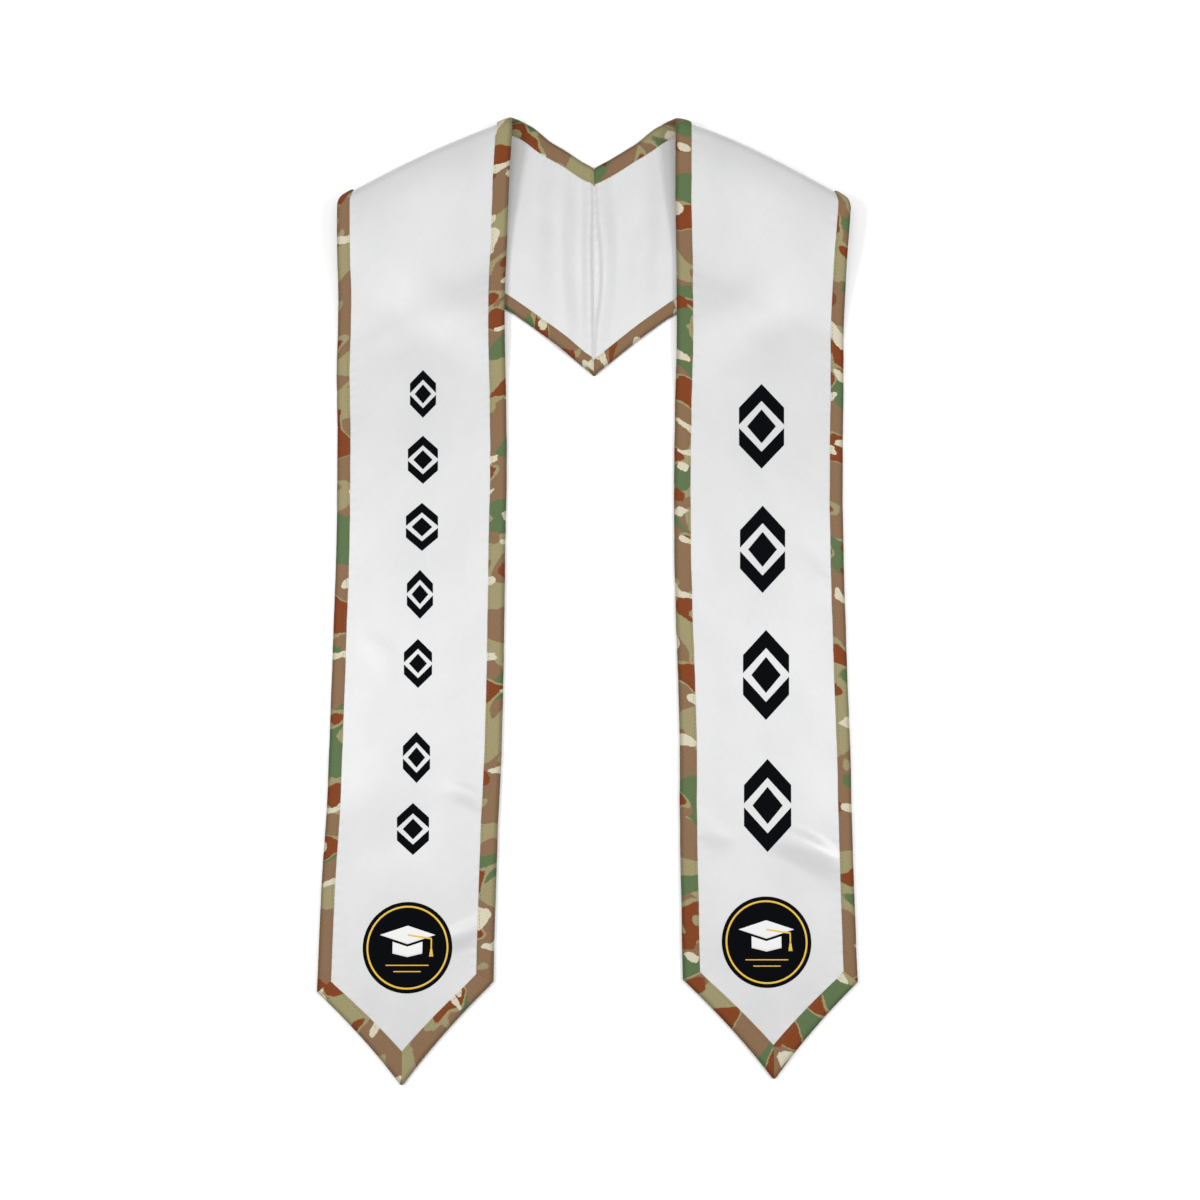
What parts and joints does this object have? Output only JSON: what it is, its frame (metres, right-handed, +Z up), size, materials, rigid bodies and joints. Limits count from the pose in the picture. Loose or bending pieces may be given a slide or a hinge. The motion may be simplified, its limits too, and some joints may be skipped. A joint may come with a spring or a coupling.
{
  "type": "graduation stole",
  "caption": "White satin graduation stole lying flat: two pointed front panels joined by a V-shaped back, folded at the shoulders, with bound edges.",
  "frame": {"origin": "middle of the underside of the stole as it lies flat", "axes": "+Y towards the neck, +X to the right seen from above with the neck away, +Z up from the table"},
  "size_m": [0.4228, 0.78, 0.0208],
  "materials": {
    "satin": "soft satin",
    "tape": "printed woven tape in brown, green and cream"
  },
  "bodies": {
    "root": {"left_strip": "satin", "left_neck_binding": "tape", "left_outer_binding": "tape", "left_inner_tip_binding": "tape", "left_outer_tip_binding": "tape", "right_strip": "satin", "right_neck_binding": "tape", "right_outer_binding": "tape", "right_inner_tip_binding": "tape", "right_outer_tip_binding": "tape"}
  },
  "joints": []
}
